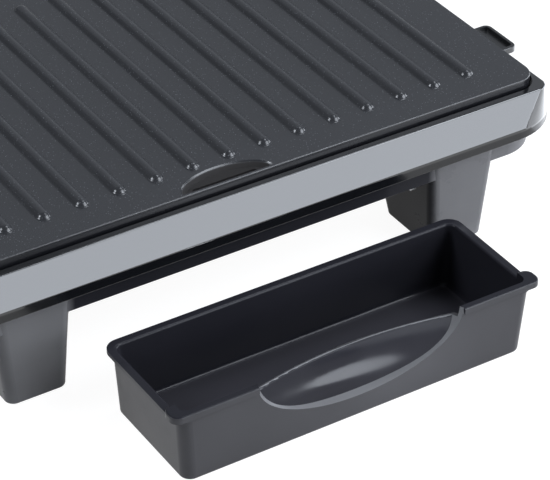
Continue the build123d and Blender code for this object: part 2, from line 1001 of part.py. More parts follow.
def make_runner_screws():
    """Four screws that hold the runners under the floor."""
    seat = floor_z - runner_thickness
    length = runner_thickness + floor_thickness + runner_boss_height
    return Compound(
        [
            make_screw(
                small_screw,
                small_screw_head,
                small_screw_head_height,
                length,
                side * runner_screw_x,
                y,
                seat,
                1,
            )
            for side in (-1, 1)
            for y in runner_screw_ys
        ]
    )


def thermostat_back():
    """Back face of the thermostat along X, where its leads join."""
    return pod_face() + pod_wall + thermostat_length


def make_control_lead():
    """Lead from the terminal block to the thermostat."""
    x = -tray_width / 2 - lead_tray_gap
    block_side = block_x + block_width / 2
    y = block_y + lead_spread / 2
    high = shelf_z - lead_shelf_gap
    points = [
        (block_side, y, lead_height),
        (x, y, lead_height),
        (x, pod_place, lead_height),
        (x, pod_place, high),
        (thermostat_back(), pod_place, high),
    ]
    return tube_along(points, lead_bend, lead_diameter)


def element_pin_end():
    """Outer end of the element's pins along X."""
    return -tray_width / 2 - bush_length / 2 - element_pin_length


def make_element_lead():
    """Lead from the thermostat to the element's front pin."""
    start = element_pin_end()
    front = bush_ys()[0]
    turn = start - lead_reach
    y = pod_place - lead_side
    points = [
        (start, front, element_z),
        (turn, front, element_z),
        (turn, y, element_z),
        (thermostat_back(), y, element_z),
    ]
    return tube_along(points, lead_bend, lead_diameter)


def make_return_lead():
    """Lead from the element's back pin down to the terminal block."""
    x = element_pin_end() + element_pin_length / 2
    back = bush_ys()[1]
    y = block_y - lead_spread / 2
    points = [
        (x, back, element_z - element_pin / 2),
        (x, back, lead_height),
        (x, y, lead_height),
        (block_x + block_width / 2, y, lead_height),
    ]
    return tube_along(points, lead_bend, lead_diameter)


def make_lamp_lead():
    """Lead from the heating light to the thermostat."""
    tail = lens_plane.from_local_coords(Vector(0, 0, -housing_wall - lamp_length))
    start = tail.X + lead_diameter / 2 * slope_up / slope_out
    turn = element_pin_end() - lead_reach
    y = pod_place + lead_side
    points = [
        (start, lens_place, tail.Z),
        (turn, lens_place, tail.Z),
        (turn, y, tail.Z),
        (thermostat_back(), y, tail.Z),
    ]
    return tube_along(points, lead_bend, lead_diameter)


def corner_name(sx, sy):
    """Plain name of a corner."""
    return ("front" if sy < 0 else "rear") + "_" + ("left" if sx < 0 else "right")


def make_nodes():
    """Every piece of the grill by its name."""
    front, back = bush_ys()
    nodes = {
        "grill_plate": make_plate(),
        "front_left_grip": make_grip(-1),
        "front_right_grip": make_grip(1),
        "upper_housing": make_upper_housing(),
        "lower_housing": make_lower_housing(),
        "drip_drawer": make_drawer(),
        "left_runner": make_runner(-1),
        "right_runner": make_runner(1),
        "drip_chute": make_chute(),
        "reflector_tray": make_tray(),
        "heating_element": make_element(),
        "element_bar_left": make_bar(-1),
        "element_bar_right": make_bar(1),
        "element_bush_front": make_bush(front),
        "element_bush_rear": make_bush(back),
        "control_pod": make_pod(),
        "thermostat_body": make_thermostat(),
        "thermostat_shaft": make_shaft(),
        "thermostat_knob": make_knob(),
        "pilot_lens": make_lens(),
        "pilot_lamp": make_lamp(),
        "terminal_block": make_terminal_block(),
        "thermal_fuse": make_fuse(),
        "cord_gland": make_gland(),
        "control_lead": make_control_lead(),
        "element_lead": make_element_lead(),
        "return_lead": make_return_lead(),
        "lamp_lead": make_lamp_lead(),
        "housing_screws": make_housing_screws(),
        "tray_screws": make_tray_screws(),
        "runner_screws": make_runner_screws(),
    }
    pad = foot_space(0)
    for sx in (-1, 1):
        for sy in (-1, 1):
            nodes["foot_pad_" + corner_name(sx, sy)] = to_corner(pad, sx, sy)
    for x, y in seat_places():
        nodes["plate_seat_" + corner_name(x, y)] = make_seat(x, y)
    return nodes


def shared_origin():
    """Point on the table below the middle of the overall box."""
    knob_end = pod_face() - knob_gap - knob_length - pointer_height
    x = (lip_width / 2 + knob_end) / 2
    y = (lip_depth / 2 + drawer_rest - rim_proud) / 2
    return Pos(x, y)


os.makedirs("parts", exist_ok=True)
to_origin = shared_origin().inverse()
for name, shape in make_nodes().items():
    export_step(to_origin * shape, f"parts/{name}.step")
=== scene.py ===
"""Finishes, fine details and studio stage for a table grill with a drip drawer."""
import json
import math

import bmesh
import bpy
from mathutils import Matrix, Vector

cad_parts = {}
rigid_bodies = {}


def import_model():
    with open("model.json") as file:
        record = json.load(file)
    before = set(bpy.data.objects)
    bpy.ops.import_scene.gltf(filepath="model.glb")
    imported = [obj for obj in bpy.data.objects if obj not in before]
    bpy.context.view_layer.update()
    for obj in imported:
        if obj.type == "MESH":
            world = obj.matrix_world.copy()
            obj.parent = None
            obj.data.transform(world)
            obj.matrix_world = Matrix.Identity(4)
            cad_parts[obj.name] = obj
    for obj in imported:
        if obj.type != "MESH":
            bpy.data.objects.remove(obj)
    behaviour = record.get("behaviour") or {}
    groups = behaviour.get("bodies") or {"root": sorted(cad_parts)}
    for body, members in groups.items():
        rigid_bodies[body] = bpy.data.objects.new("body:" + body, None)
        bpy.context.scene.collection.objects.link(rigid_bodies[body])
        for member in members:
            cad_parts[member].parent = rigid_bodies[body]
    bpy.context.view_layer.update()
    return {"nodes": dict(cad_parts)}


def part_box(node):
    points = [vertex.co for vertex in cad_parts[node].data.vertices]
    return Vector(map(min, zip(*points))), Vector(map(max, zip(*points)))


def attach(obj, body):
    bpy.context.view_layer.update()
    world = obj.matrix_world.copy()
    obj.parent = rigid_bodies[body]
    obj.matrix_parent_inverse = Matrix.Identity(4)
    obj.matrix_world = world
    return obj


bl_info = {
    "name": "Table grill",
    "version": (1, 0, 0),
    "blender": (4, 5, 0),
    "location": "View3D > Sidebar > Grill",
    "description": "Finishes, fine details and stage for a table grill with a drip drawer",
    "category": "Object",
}

for leftover in list(bpy.data.objects):
    bpy.data.objects.remove(leftover)
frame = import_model()

# Where a finish changes on its node, in metres.
RIB_HEIGHT = 0.003  # ribs above the flat of the plate
TOP_FADE = (0.0012, 0.0006)  # below that flat, where the top ends
DRAIN_HALF = 0.031  # half the drain's width
DRAIN_LIP = 0.0014  # from the plate's front edge to the drain
DRAIN_REACH = 0.0175  # from the plate's front edge to the drain's back
SLOPE_FOOT = 0.0741  # height of the sloped band's lower edge
SLOPE_FADE = (0.0016, 0.0006)  # below that edge, where the extra gloss ends
APRON_HALF = 0.128  # half the apron's width between the legs
APRON_FADE = 0.006  # width over which the apron's finish ends
APRON_FOOT = 0.0500  # height of the apron's lower edge
APRON_STEP = 0.0005  # height over which the apron's finish begins
DUST_TOP = 0.012  # height at which the dust on the legs ends
FRONT_LEAN = 0.046  # how far the drawer's front leans for each unit of height
FRONT_FACE = 0.0046  # from the drawer's foremost point to just behind its front
SCOOP_REACH = 0.0155  # from the drawer's foremost point to the scoop's back
SCOOP_HALF = 0.0715  # half the scoop's width
SCOOP_FOOT = 0.008  # height above which the scoop's ledge lies
FLANGE_DEEP = 0.0055  # depth of the drawer's flanges below its top
FLOOR_TOP = 0.006  # height below which the drawer's floor lies

# Limits on the part of a face's normal that tells which way it looks.
UPRIGHT = 0.35
LEVEL = 0.8
DISH_FORWARD = -0.65
LEDGE_FORWARD = (-0.40, 0.25)  # middle and reach
INNER_SIDE = (-0.85, -0.35)

# Roughness of a clean spot and of a handled one.
COATING_ROUGH = (0.23, 0.30)
GLOSS_ROUGH = (0.04, 0.09)
BASE_ROUGH = (0.26, 0.36)
POD_ROUGH = (0.26, 0.38)
GRIP_ROUGH = (0.22, 0.34)
KNOB_ROUGH = (0.30, 0.42)
DRAWER_ROUGH = (0.28, 0.38)
INSIDE_ROUGH = (0.09, 0.17)
RAIL_ROUGH = (0.30, 0.42)
CHUTE_ROUGH = (0.20, 0.32)
TRAY_ROUGH = (0.18, 0.30)
BAR_ROUGH = (0.30, 0.44)
SCREW_ROUGH = (0.28, 0.40)
HEATER_ROUGH = (0.34, 0.50)
COMPOUND_ROUGH = (0.50, 0.64)
RUBBER_ROUGH = (0.62, 0.78)
PRINT_ROUGH = (0.45, 0.58)
LENS_ROUGH = (0.10, 0.18)
BULB_ROUGH = (0.04, 0.10)
SLEEVE_ROUGH = (0.72, 0.86)
APRON_ROUGH = 0.16
DRAIN_ROUGHER = 0.60  # added in the drain
LIP_ROUGHER = 0.08  # added on the frame below its band
COAT_ROUGH = 0.05

# Darkest and lightest shade that a pattern gives to a colour.
COATING_SHADES = (0.4, 1.6)
GLOSS_SHADES = (0.85, 1.2)
SATIN_SHADES = (0.88, 1.14)
METAL_SHADES = (0.86, 1.10)
PLAIN_SHADES = (0.86, 1.12)
CLEAR_SHADES = (0.90, 1.08)
SLEEVE_SHADES = (0.55, 1.1)
DUST_SHADE = 1.25

# Strength of a fine relief and its depth in metres.
COATING_RELIEF = (0.10, 0.00010)
GLOSS_RELIEF = (0.10, 0.0006)
MOULD_RELIEF = (0.14, 0.00008)
SATIN_RELIEF = (0.12, 0.00008)
METAL_RELIEF = (0.08, 0.00005)
HEATER_RELIEF = (0.15, 0.00006)
COMPOUND_RELIEF = (0.2, 0.0001)
RUBBER_RELIEF = (0.35, 0.0001)
PRINT_RELIEF = (0.1, 0.0001)
SLEEVE_RELIEF = (0.6, 0.00025)

# How strongly a finish mirrors, and how much light it lets through.
GLOSS_IOR = 1.45
COAT_IOR = 1.5
MOULD_IOR = 1.55
BASE_IOR = 1.15
DRAWER_IOR = 1.22
CLEAR_IOR = 1.49
LENS_CLEAR = 0.55
BULB_CLEAR = 0.92

# Shares and directions of the surface patterns.
FLECK_REACH = 0.15
FLECK_SHARE = 0.6
# Share of the painted sheen on the drawer's glossy inside.
SHEEN_SHARE = 0.25
BRUSH_DRIFT = 0.18
ALONG_X = (0.04, 1.0, 1.0)
ALONG_Y = (1.0, 0.04, 1.0)
ALONG_Z = (1.0, 1.0, 0.2)
GRAIN_DETAIL = 3.0
BRUSH_DETAIL = 2.0
SMUDGE_DETAIL = 5.0
SMUDGE_BREAKUP = 0.62
SMUDGE_RANGE = (0.36, 0.68)
BRAID_RATE = 0.16
BRAID_LEAN = math.radians(40.0)

# Form of the heat marks and of the pointer line.
BAR_EDGE = 0.6  # rounding, as a share of how far the bar stands out
FIRST_MARK = 0.45  # the first mark, as a share of the longest one

# Board of nodes and meshes.
NODE_STEP = (260.0, 240.0)  # columns and rows
MIX_FIRST, MIX_SECOND, MIX_RESULT = 6, 7, 2  # the Mix node's sockets for colours
MERGE_DISTANCE = 1e-7

# Stage.
FLOOR_DROP = 0.0003  # floor below the feet, in metres
FLOOR_WHITE = 0.94  # glow of the floor where it is seen
FLOOR_SHADOW = 0.22  # share of its colour that takes light and shadow there
SENSOR_WIDTH = 36.0
VIEW_REACH = 100.0
LAMP_TINT = (0.87, 0.92, 1.0)
LAMP_AIM = (0.0, -0.05, 0.08)
SCOOP_AIM = (0.011, -0.191, 0.028)
CORNER_AIM = (0.20, -0.09, 0.075)
# Name, power's property, place, aim, width, height and shape of each lamp.
LAMPS = (
    ("front_softbox", "front_power", (0.70, -1.42, 0.34), LAMP_AIM, 1.30, 0.50, "RECTANGLE"),
    ("right_softbox", "right_power", (1.55, -0.45, 0.34), LAMP_AIM, 1.30, 0.50, "RECTANGLE"),
    ("key_softbox", "key_power", (0.86, -0.95, 1.12), LAMP_AIM, 1.00, 0.70, "RECTANGLE"),
    ("left_softbox", "left_power", (-1.24, 0.38, 1.16), LAMP_AIM, 0.60, 0.50, "RECTANGLE"),
    ("back_softbox", "back_power", (0.95, 1.55, 1.20), LAMP_AIM, 3.40, 2.00, "RECTANGLE"),
    ("top_softbox", "top_power", (0.70, 0.10, 1.49), LAMP_AIM, 0.50, 0.40, "RECTANGLE"),
    ("glint_card", "glint_power", (0.047, -0.261, 0.0146), SCOOP_AIM, 0.026, 0.018, "ELLIPSE"),
    ("corner_card", "corner_power", (0.315, -0.105, 0.055), CORNER_AIM, 0.21, 0.10, "RECTANGLE"),
)


def paint(name, words, default):
    """A colour that a user may change."""
    return bpy.props.FloatVectorProperty(
        name=name, description=words, subtype="COLOR", size=3, min=0.0, max=1.0, default=default
    )


def length(name, words, default):
    """A length in metres that a user may change."""
    return bpy.props.FloatProperty(
        name=name, description=words, unit="LENGTH", min=0.0, precision=5, default=default
    )


def power(name, words, default):
    """A lamp's power in watts."""
    return bpy.props.FloatProperty(
        name=name, description=words, unit="POWER", min=0.0, default=default
    )


def turn(name, words, degrees):
    """An angle that a user may change."""
    return bpy.props.FloatProperty(
        name=name, description=words, unit="ROTATION", default=math.radians(degrees)
    )


class GrillColours(bpy.types.PropertyGroup):
    """Colours of the grill's finishes"""

    coating: paint("Coating", "Non-stick coating of the plate", (0.0225, 0.0234, 0.0262))
    fleck: paint("Flecks", "Light flecks in the coating", (0.22, 0.23, 0.25))
    # Painted shade: a darker copy of the coating's colour for the plate's upright sides.
    edge: paint("Plate edge", "Upright sides of the plate", (0.007, 0.0072, 0.009))
    # Painted shade: a darker brownish colour laid over the drain's hollow.
    stain: paint("Drain stain", "Baked-on fat in the drain", (0.009, 0.0076, 0.0074))
    gloss: paint("Gloss frame", "Glossy moulding round the plate", (0.0045, 0.0048, 0.0058))
    satin: paint("Satin base", "Satin moulding of the legs", (0.118, 0.116, 0.118))
    # Painted shade for the glossier strip under the frame's band and for the legs' inner sides.
    shaded_apron: paint("Apron", "Polished apron and the legs' inner sides", (0.016, 0.016, 0.019))
    grip: paint("Grips", "Lugs beside the plate", (0.010, 0.0103, 0.0112))
    drawer: paint("Drawer", "Outside of the drip drawer", (0.050, 0.049, 0.052))
    # Painted shade: darker colour for the drawer's glossy inside, the scoop's dish and the rim
    # tops.
    drawer_inside_shade: paint("Drawer inside", "Polished inside of the drawer", (0.014, 0.014, 0.018))
    # Painted light: lighter colour for the drawer's floor, which faces up.
    drawer_floor_light: paint("Drawer floor", "Scoured floor of the drawer", (0.034, 0.033, 0.039))
    # Painted light: lighter colour for the upward-slanted step below the finger scoop.
    lit_ledge: paint("Scoop ledge", "Worn ledge of the finger scoop", (0.135, 0.135, 0.139))
    knob: paint("Knob", "Heat control knob", (0.026, 0.026, 0.028))
    zinc: paint("Zinc", "Zinc-plated sheet and screws", (0.56, 0.57, 0.58))
    bright: paint("Bright sheet", "Reflector tray and drip chute", (0.80, 0.80, 0.81))
    heater: paint("Heater", "Heat-tinted tube", (0.26, 0.235, 0.215))
    heater_tint: paint("Heater tint", "Bluish stain of the hot tube", (0.17, 0.17, 0.21))
    insulator: paint("Insulator", "Bushes, block and thermostat body", (0.80, 0.77, 0.70))
    lens: paint("Lamp lens", "Lens of the heating light", (0.72, 0.060, 0.035))
    glass: paint("Lamp glass", "Bulb behind the lens", (0.90, 0.87, 0.82))
    sleeve: paint("Sleeve", "Woven sleeve of the leads", (0.70, 0.68, 0.63))
    rubber: paint("Rubber", "Pads, seats and cord gland", (0.020, 0.020, 0.021))
    print_white: paint("Dial print", "Marks round the knob and its pointer", (0.78, 0.78, 0.76))


class GrillSizes(bpy.types.PropertyGroup):
    """Sizes of surface patterns and of the small added pieces"""

    fleck: length("Fleck spacing", "Distance between flecks of the coating", 0.0019)
    coating_grain: length("Coating grain", "Grain of the sprayed coating", 0.0005)
    ripple: length("Gloss ripple", "Slow ripple of the glossy moulding", 0.055)
    mould_grain: length("Mould grain", "Fine grain of the satin mouldings", 0.0007)
    smudge: length("Smudges", "Size of handling smudges", 0.035)
    brush: length("Brush lines", "Width of brush lines on metal", 0.0004)
    braid: length("Braid", "Pitch of the woven sleeve", 0.0012)
    mark_length: length("Mark length", "Radial length of the longest heat mark", 0.0026)
    mark_width: length("Mark width", "Width of a heat mark", 0.0009)
    mark_proud: length("Mark height", "How far the marks stand out of the pod", 0.0003)
    mark_gap: length("Mark gap", "Clear ring between knob and marks", 0.0008)
    marks: bpy.props.IntProperty(
        name="Heat marks", description="Marks round the knob", min=2, default=10
    )
    sweep: turn("Sweep", "Turn from the first mark to the last", 270.0)
    line_width: length("Pointer line width", "Width of the pale line on the pointer", 0.0010)
    line_length: length("Pointer line length", "Length of the pale line", 0.0084)
    line_proud: length("Pointer line height", "Thickness of the pale line", 0.00012)


class GrillStage(bpy.types.PropertyGroup):
    """Camera, lamps and floor"""

    target: bpy.props.FloatVectorProperty(
        name="Camera target", description="Point in the middle of the picture", subtype="XYZ",
        unit="LENGTH", default=(-0.01285, -0.14440, 0.0990)
    )
    azimuth: turn("Azimuth", "Camera's turn to the left", -32.08)
    elevation: turn("Elevation", "Camera's height angle", 34.80)
    distance: length("Distance", "From the target to the camera", 1.46641)
    lens: bpy.props.FloatProperty(
        name="Lens", description="Focal length in millimetres", default=171.50
    )
    floor_size: length("Floor", "Side of the floor", 40.0)
    floor_colour: paint("Floor colour", "White table", (0.80, 0.80, 0.80))
    world: bpy.props.FloatProperty(
        name="Room light", description="Brightness of the grey room", min=0.0, default=0.22
    )
    front_power: power("Front softbox", "Low softbox mirrored in the sloped band", 11.0)
    right_power: power("Right softbox", "Low softbox mirrored in the frame's corner", 15.0)
    key_power: power("Key softbox", "Softbox above the front right corner", 20.0)
    left_power: power("Left softbox", "Softbox above the left side", 16.0)
    back_power: power("Back softbox", "Wide softbox behind that lights the plate", 6.2)
    top_power: power("Top softbox", "Small softbox overhead that lights the rib ends", 5.0)
    glint_power: power("Glint card", "Small lit card mirrored in the finger scoop", 0.020)
    corner_power: power("Corner card", "Lit card mirrored in the frame's front right corner", 0.11)


def connect(tree, value, socket):
    """Links an output to a socket, or sets a plain value on it."""
    if isinstance(value, bpy.types.NodeSocket):
        tree.links.new(value, socket)
    else:
        socket.default_value = value


def put(tree, kind, inputs=None, **settings):
    """Adds a shader node with its settings and inputs, by socket name or number."""
    node = tree.nodes.new("ShaderNode" + kind)
    for key, value in settings.items():
        setattr(node, key, value)
    for key, value in (inputs or {}).items():
        connect(tree, value, node.inputs[key])
    return node


def sums(tree, operation, *values):
    """One arithmetic step."""
    return put(tree, "Math", dict(enumerate(values)), operation=operation).outputs[0]


def both(tree, first, *others):
    """Where all of the masks hold."""
    for other in others:
        first = sums(tree, "MULTIPLY", first, other)
    return first


def opposite(tree, mask):
    """Where a mask doesn't hold."""
    return sums(tree, "SUBTRACT", 1.0, mask)


def axes(tree, vector):
    """A vector's X, Y and Z."""
    return put(tree, "SeparateXYZ", {"Vector": vector}).outputs


def spread(tree, value, low, high, to_low, to_high):
    """A value moved from one range into another and held there."""
    ends = {"Value": value, "From Min": low, "From Max": high, "To Min": to_low, "To Max": to_high}
    return put(tree, "MapRange", ends, clamp=True).outputs["Result"]


def mixed(tree, factor, first, second):
    """A colour between two others."""
    node = put(tree, "Mix", data_type="RGBA")
    connect(tree, factor, node.inputs[0])
    connect(tree, first, node.inputs[MIX_FIRST])
    connect(tree, second, node.inputs[MIX_SECOND])
    return node.outputs[MIX_RESULT]


def full(colour, shade=1.0):
    """A property's colour with alpha, made lighter or darker."""
    return (colour[0] * shade, colour[1] * shade, colour[2] * shade, 1.0)


def lay_out(tree):
    """Sets a tree's nodes in columns, from the inputs to the output."""
    depth = {node: 0 for node in tree.nodes}
    for _ in tree.nodes:
        for link in tree.links:
            depth[link.from_node] = max(depth[link.from_node], depth[link.to_node] + 1)
    rows = {}
    for node, column in depth.items():
        row = rows.get(column, 0)
        rows[column] = row + 1
        node.location = (-NODE_STEP[0] * column, -NODE_STEP[1] * row)


def effect(name, inputs, output):
    """An empty node group with named sockets; gives its tree, inputs and output socket."""
    tree = bpy.data.node_groups.new(name, "ShaderNodeTree")
    for label, kind in inputs:
        tree.interface.new_socket(name=label, in_out="INPUT", socket_type="NodeSocket" + kind)
    tree.interface.new_socket(name=output, in_out="OUTPUT", socket_type="NodeSocketFloat")
    start = tree.nodes.new("NodeGroupInput")
    end = tree.nodes.new("NodeGroupOutput")
    return tree, start.outputs, end.inputs[output]


def grain_effect():
    """Even grain of moulded or sprayed surfaces."""
    tree, given, height = effect("Grain", [("Vector", "Vector"), ("Size", "Float")], "Height")
    scale = sums(tree, "DIVIDE", 1.0, given["Size"])
    noise = put(
        tree, "TexNoise", {"Vector": given["Vector"], "Scale": scale, "Detail": GRAIN_DETAIL}
    )
    tree.links.new(noise.outputs["Fac"], height)
    lay_out(tree)


def fleck_effect():
    """Small round flecks scattered over a coating."""
    sockets = [("Vector", "Vector"), ("Size", "Float"), ("Reach", "Float")]
    tree, given, mask = effect("Flecks", sockets, "Mask")
    scale = sums(tree, "DIVIDE", 1.0, given["Size"])
    cells = put(tree, "TexVoronoi", {"Vector": given["Vector"], "Scale": scale})
    half = sums(tree, "MULTIPLY", given["Reach"], 0.5)
    fade = spread(tree, cells.outputs["Distance"], half, given["Reach"], 1.0, 0.0)
    tree.links.new(fade, mask)
    lay_out(tree)


def smudge_effect():
    """Roughness that drifts between a clean and a handled surface."""
    sockets = [("Vector", "Vector"), ("Size", "Float"), ("Clean", "Float"), ("Handled", "Float")]
    tree, given, rough = effect("Smudges", sockets, "Roughness")
    noise = put(tree, "TexNoise", {
        "Vector": given["Vector"], "Scale": sums(tree, "DIVIDE", 1.0, given["Size"]),
        "Detail": SMUDGE_DETAIL, "Roughness": SMUDGE_BREAKUP,
    })
    value = spread(tree, noise.outputs["Fac"], *SMUDGE_RANGE, given["Clean"], given["Handled"])
    tree.links.new(value, rough)
    lay_out(tree)


def brushed_effect():
    """Fine lines along one direction of a rolled or brushed metal."""
    sockets = [("Vector", "Vector"), ("Size", "Float"), ("Stretch", "Vector")]
    tree, given, lines = effect("Brushed", sockets, "Lines")
    drawn = put(tree, "VectorMath", {0: given["Vector"], 1: given["Stretch"]}, operation="MULTIPLY")
    scale = sums(tree, "DIVIDE", 1.0, given["Size"])
    noise = put(
        tree, "TexNoise", {"Vector": drawn.outputs[0], "Scale": scale, "Detail": BRUSH_DETAIL}
    )
    tree.links.new(noise.outputs["Fac"], lines)
    lay_out(tree)


def band_effect():
    """Fades in between two heights of the grill."""
    sockets = [("Vector", "Vector"), ("Low", "Float"), ("High", "Float")]
    tree, given, mask = effect("Height band", sockets, "Mask")
    height = axes(tree, given["Vector"])["Z"]
    tree.links.new(spread(tree, height, given["Low"], given["High"], 0.0, 1.0), mask)
    lay_out(tree)


def braid_effect():
    """Crossing threads of a woven sleeve."""
    tree, given, height = effect("Braid", [("Vector", "Vector"), ("Pitch", "Float")], "Height")
    scale = sums(tree, "DIVIDE", BRAID_RATE, given["Pitch"])
    threads = []
    for lean in (BRAID_LEAN, -BRAID_LEAN):
        turned = put(tree, "Mapping", {"Vector": given["Vector"], "Rotation": (lean, lean, lean)})
        wave = put(
            tree, "TexWave", {"Vector": turned.outputs[0], "Scale": scale},
            bands_direction="DIAGONAL"
        )
        threads.append(wave.outputs["Fac"])
    tree.links.new(sums(tree, "MAXIMUM", *threads), height)
    lay_out(tree)


class Finish:
    """A material under construction: its tree, its shader and the Object coordinates."""

    def __init__(self, name):
        self.material = bpy.data.materials.new(name)
        self.material.use_nodes = True
        self.tree = self.material.node_tree
        self.tree.nodes.clear()
        self.shader = put(self.tree, "BsdfPrincipled")
        self.place = put(self.tree, "TexCoord").outputs["Object"]
        end = put(self.tree, "OutputMaterial")
        self.tree.links.new(self.shader.outputs[0], end.inputs["Surface"])

    def effect(self, name, **inputs):
        """A shared effect laid over this material's coordinates; gives its output."""
        node = self.tree.nodes.new("ShaderNodeGroup")
        node.node_tree = bpy.data.node_groups[name]
        for key, value in {"Vector": self.place, **inputs}.items():
            connect(self.tree, value, node.inputs[key])
        return node.outputs[0]

    def wear(self, sizes, rough):
        """Roughness between a clean spot and a handled one."""
        clean, handled = rough
        return self.effect("Smudges", Size=sizes.smudge, Clean=clean, Handled=handled)

    def shades(self, pattern, colour, ends):
        """A colour that a pattern makes darker and lighter."""
        dark, light = ends
        return mixed(self.tree, pattern, full(colour, dark), full(colour, light))

    def facing(self):
        """Which way a face looks."""
        return put(self.tree, "NewGeometry").outputs["Normal"]

    def bump(self, height, relief):
        """Fine relief from a height pattern."""
        strength, depth = relief
        node = put(self.tree, "Bump", {"Height": height, "Strength": strength, "Distance": depth})
        self.tree.links.new(node.outputs["Normal"], self.shader.inputs["Normal"])

    def done(self, **sockets):
        """Sets the shader's sockets, tidies the board and gives the material."""
        for label, value in sockets.items():
            connect(self.tree, value, self.shader.inputs[label.replace("_", " ")])
        lay_out(self.tree)
        return self.material


def coating_finish(colours, sizes):
    """Speckled non-stick coating, with painted shade on its upright sides and in the drain."""
    made = Finish("non_stick_coating")
    tree = made.tree
    low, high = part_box("grill_plate")
    chute_low, chute_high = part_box("drip_chute")
    flat = high.z - RIB_HEIGHT
    top = made.effect("Height band", Low=flat - TOP_FADE[0], High=flat - TOP_FADE[1])
    below = opposite(tree, top)
    upright = sums(tree, "LESS_THAN", axes(tree, made.facing())["Z"], UPRIGHT)
    at = axes(tree, made.place)
    aside = sums(tree, "SUBTRACT", at["X"], (chute_low.x + chute_high.x) / 2)
    within = sums(tree, "LESS_THAN", sums(tree, "ABSOLUTE", aside), DRAIN_HALF)
    behind = sums(tree, "GREATER_THAN", at["Y"], low.y + DRAIN_LIP)
    before = sums(tree, "LESS_THAN", at["Y"], low.y + DRAIN_REACH)
    # Painted shade: the drain's hollow takes the darker drain colour, and it is also made rougher.
    drain = both(tree, within, behind, before, below)
    grain = made.effect("Grain", Size=sizes.coating_grain)
    sprayed = made.shades(grain, colours.coating, COATING_SHADES)
    flecks = made.effect("Flecks", Size=sizes.fleck, Reach=FLECK_REACH)
    speckled = mixed(
        tree, sums(tree, "MULTIPLY", flecks, FLECK_SHARE), sprayed, full(colours.fleck)
    )
    # Painted shade: upright faces below the ribs take the darker side colour.
    side_shaded = mixed(tree, both(tree, upright, below), speckled, full(colours.edge))
    drain_rough = sums(tree, "MULTIPLY", drain, DRAIN_ROUGHER)
    made.bump(grain, COATING_RELIEF)
    return made.done(
        Base_Color=mixed(tree, drain, side_shaded, full(colours.stain)),
        Roughness=sums(tree, "ADD", made.wear(sizes, COATING_ROUGH), drain_rough)
    )


def gloss_finish(colours, sizes):
    """Glossy moulding with a slow ripple and faint smudges, glossiest on its sloped band."""
    made = Finish("gloss_moulding")
    tree = made.tree
    cloud = made.effect("Grain", Size=sizes.smudge)
    band = made.effect(
        "Height band", Low=SLOPE_FOOT - SLOPE_FADE[0], High=SLOPE_FOOT - SLOPE_FADE[1]
    )
    duller = sums(tree, "MULTIPLY", opposite(tree, band), LIP_ROUGHER)
    made.bump(made.effect("Grain", Size=sizes.ripple), GLOSS_RELIEF)
    return made.done(
        Base_Color=made.shades(cloud, colours.gloss, GLOSS_SHADES),
        Roughness=sums(tree, "ADD", made.wear(sizes, GLOSS_ROUGH), duller), IOR=GLOSS_IOR,
        Coat_Weight=band, Coat_Roughness=COAT_ROUGH, Coat_IOR=COAT_IOR
    )


def moulded_finish(name, colour, sizes, rough):
    """Satin moulding with a fine grain."""
    made = Finish(name)
    cloud = made.effect("Grain", Size=sizes.smudge)
    made.bump(made.effect("Grain", Size=sizes.mould_grain), MOULD_RELIEF)
    return made.done(
        Base_Color=made.shades(cloud, colour, SATIN_SHADES),
        Roughness=made.wear(sizes, rough), IOR=MOULD_IOR
    )


def base_finish(colours, sizes):
    """Satin legs, a little dusty near the table, with painted shade on their inner sides and on the
    glossier strip between them.
    """
    made = Finish("base_moulding")
    tree = made.tree
    low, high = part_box("lower_housing")
    lifted = made.effect("Height band", Low=0.0, High=DUST_TOP)
    upper = made.effect("Height band", Low=APRON_FOOT - APRON_STEP, High=APRON_FOOT)
    off_middle = sums(tree, "SUBTRACT", axes(tree, made.place)["X"], (low.x + high.x) / 2)
    aside = sums(tree, "ABSOLUTE", off_middle)
    shaded_apron = both(tree, upper, spread(tree, aside, APRON_HALF - APRON_FADE, APRON_HALF, 1.0, 0.0))
    sideways = axes(tree, made.facing())["X"]
    outward = sums(tree, "MULTIPLY", sideways, sums(tree, "SIGN", off_middle))
    shaded_inner_sides = spread(tree, outward, *INNER_SIDE, 1.0, 0.0)
    # Painted shade: that strip and the legs' inner sides take the darker colour.
    dark = sums(tree, "MAXIMUM", shaded_apron, shaded_inner_sides)
    cloud = made.effect("Grain", Size=sizes.smudge)
    satin = made.shades(cloud, colours.satin, SATIN_SHADES)
    dusty = mixed(tree, lifted, full(colours.satin, DUST_SHADE), satin)
    made.bump(made.effect("Grain", Size=sizes.mould_grain), SATIN_RELIEF)
    return made.done(
        Base_Color=mixed(tree, dark, dusty, full(colours.shaded_apron)),
        Roughness=spread(tree, shaded_apron, 0.0, 1.0, made.wear(sizes, BASE_ROUGH), APRON_ROUGH),
        IOR=BASE_IOR
    )


